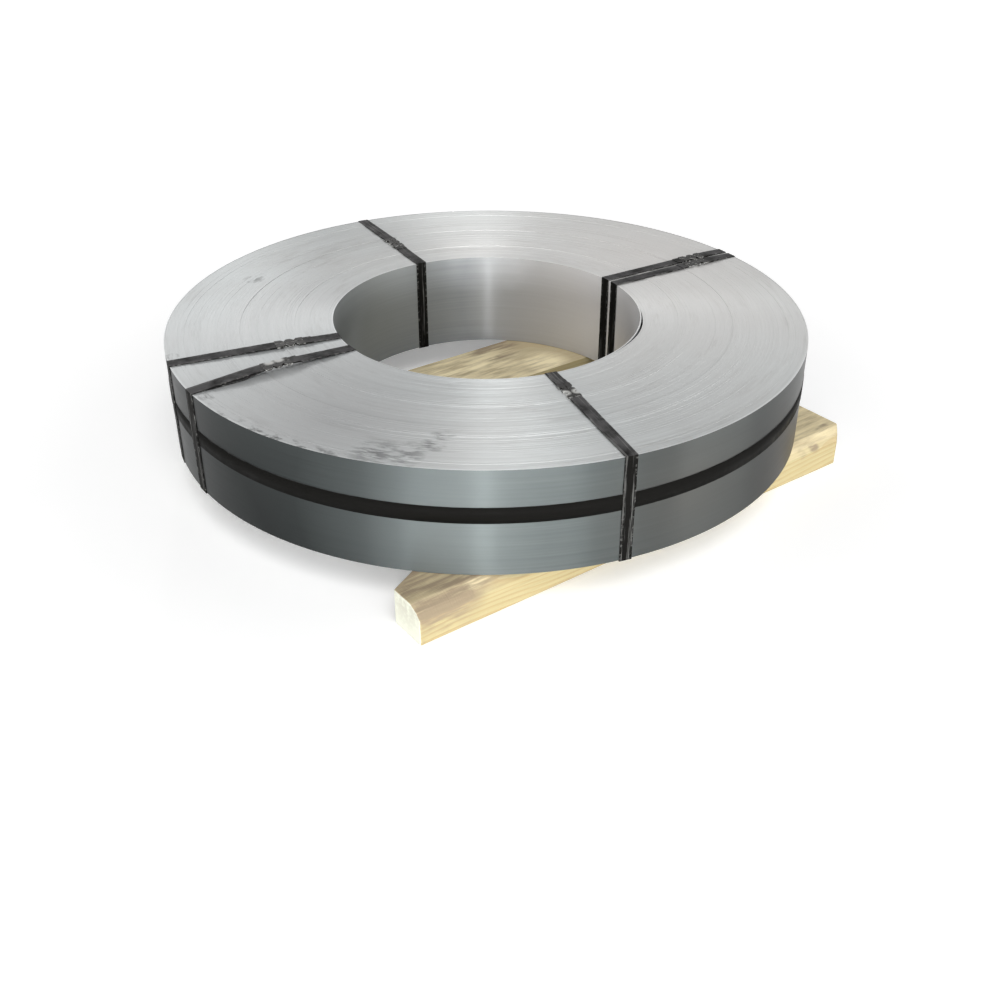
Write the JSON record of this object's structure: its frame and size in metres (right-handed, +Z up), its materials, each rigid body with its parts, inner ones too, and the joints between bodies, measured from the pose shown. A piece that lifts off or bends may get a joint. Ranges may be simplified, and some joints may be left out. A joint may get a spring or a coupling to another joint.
{
  "type": "steel coil",
  "caption": "Slit steel coil lying flat with its eye upright, held by black steel strapping with notched seals, resting on sawn timber bearers.",
  "frame": {"origin": "on the axis of the coil's eye, level with the underside of the timber bearers", "axes": "+Z up along the eye's axis; X along the timber bearers; +Y from the front bearer towards the bearer under the eye"},
  "size_m": [1.0487, 1.0466, 0.2306],
  "materials": {
    "coil_steel": "bright strip with sharp slit edges, lightly smudged",
    "strap_steel": "black painted and waxed, semi gloss, scuffed",
    "seal_steel": "dull black sheet, rubbed bright on its folds",
    "softwood": "rough sawn, weather stained"
  },
  "bodies": {
    "root": {"coil": "coil_steel", "belly_strap": "strap_steel", "belly_seal": "seal_steel", "timber_front": "softwood", "timber_middle": "softwood", "eye_strap_1": "strap_steel", "eye_strap_2": "strap_steel", "eye_strap_3": "strap_steel", "eye_strap_4": "strap_steel", "eye_strap_5": "strap_steel", "eye_strap_6": "strap_steel", "eye_seal_1": "seal_steel", "eye_seal_2": "seal_steel", "eye_seal_3": "seal_steel", "eye_seal_4": "seal_steel", "eye_seal_5": "seal_steel", "eye_seal_6": "seal_steel"}
  },
  "joints": []
}
